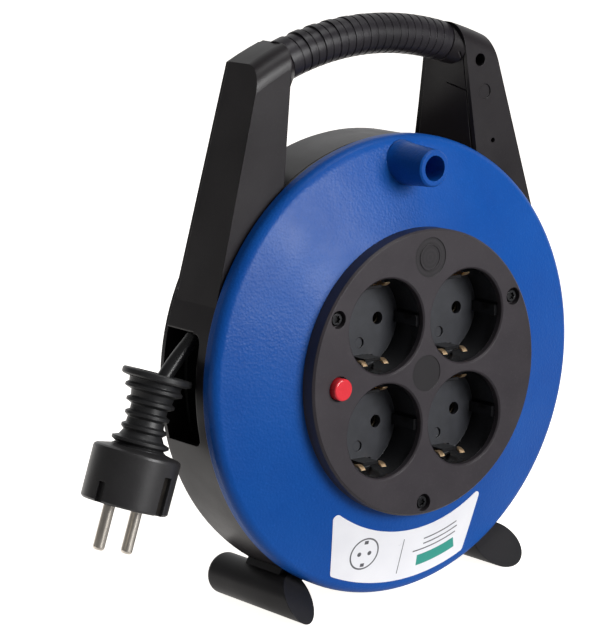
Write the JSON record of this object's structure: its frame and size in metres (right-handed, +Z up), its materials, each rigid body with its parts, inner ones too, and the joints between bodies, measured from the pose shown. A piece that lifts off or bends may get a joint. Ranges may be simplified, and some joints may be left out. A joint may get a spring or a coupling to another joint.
{
  "type": "extension cord reel",
  "caption": "Closed extension cord reel: a blue drum with earthed sockets turns in a black casing with a ribbed carrying handle, tube feet and a plug on the free end of the cord.",
  "frame": {"origin": "on the floor, under the middle of the casing's width and of the depth from the crank knob's tip to the rear ends of the feet", "axes": "+Z up, +Y from the socket side to the back, +X to the right as seen from the socket side"},
  "size_m": [0.2424, 0.0764, 0.2464],
  "materials": {
    "casing": "fine textured matt black",
    "grip": "matt black, ribbed",
    "feet": "satin black",
    "disc": "satin blue, fine grain",
    "drum": "satin black",
    "panel": "fine textured dark grey",
    "wells": "smooth black",
    "button": "glossy red",
    "cutout": "matt black",
    "carrier": "matt light grey",
    "contacts": "stamped and sprung",
    "screws": "blackened zinc plated",
    "zinc": "bright zinc plated",
    "bush": "natural acetal",
    "label": "white printed film",
    "cord": "smooth black sheath",
    "relief": "soft matt black",
    "plug": "satin black",
    "pins": "nickel plated brass",
    "wire_brown": "brown insulation",
    "wire_blue": "blue insulation",
    "wire_earth": "green and yellow insulation"
  },
  "bodies": {
    "housing": {"front_housing": "casing", "rear_cover": "casing", "cover_screws": "screws", "grip_sleeve": "grip", "foot_left": "feet", "foot_right": "feet", "foot_screws": "screws", "axle_spigot": "zinc", "spigot_screws": "screws", "retaining_washer": "zinc", "retaining_screw": "zinc", "cord_lead": "cord", "bend_relief": "relief", "plug_body": "plug", "plug_pins": "pins", "plug_earth_contacts": "contacts"},
    "drum": {"front_disc": "disc", "drum_core": "drum", "rear_flange": "drum", "flange_screws": "zinc", "hub_bush": "bush", "socket_panel": "panel", "socket_wells": "wells", "panel_screws": "screws", "contact_base": "carrier", "line_strip": "contacts", "neutral_strip": "contacts", "earth_frame": "contacts", "thermal_cutout": "cutout", "name_label": "label", "inner_lead": "cord", "cord_clamp": "carrier", "clamp_screws": "zinc", "wire_line": "wire_brown", "wire_neutral": "wire_blue", "wire_earth": "wire_earth", "cord_winding": "cord"},
    "button": {"reset_button": "button"}
  },
  "joints": [
    {"name": "drum_spin", "type": "hinge", "parent": "housing", "child": "drum", "pos_m": [0, 0.01, 0.0993], "axis": [0, -1, 0], "continuous": true},
    {"name": "button_press", "type": "slide", "parent": "drum", "child": "button", "axis": [0, 1, 0], "range_m": [-0.002, 0.001], "stiffness_N_per_m": 800}
  ]
}
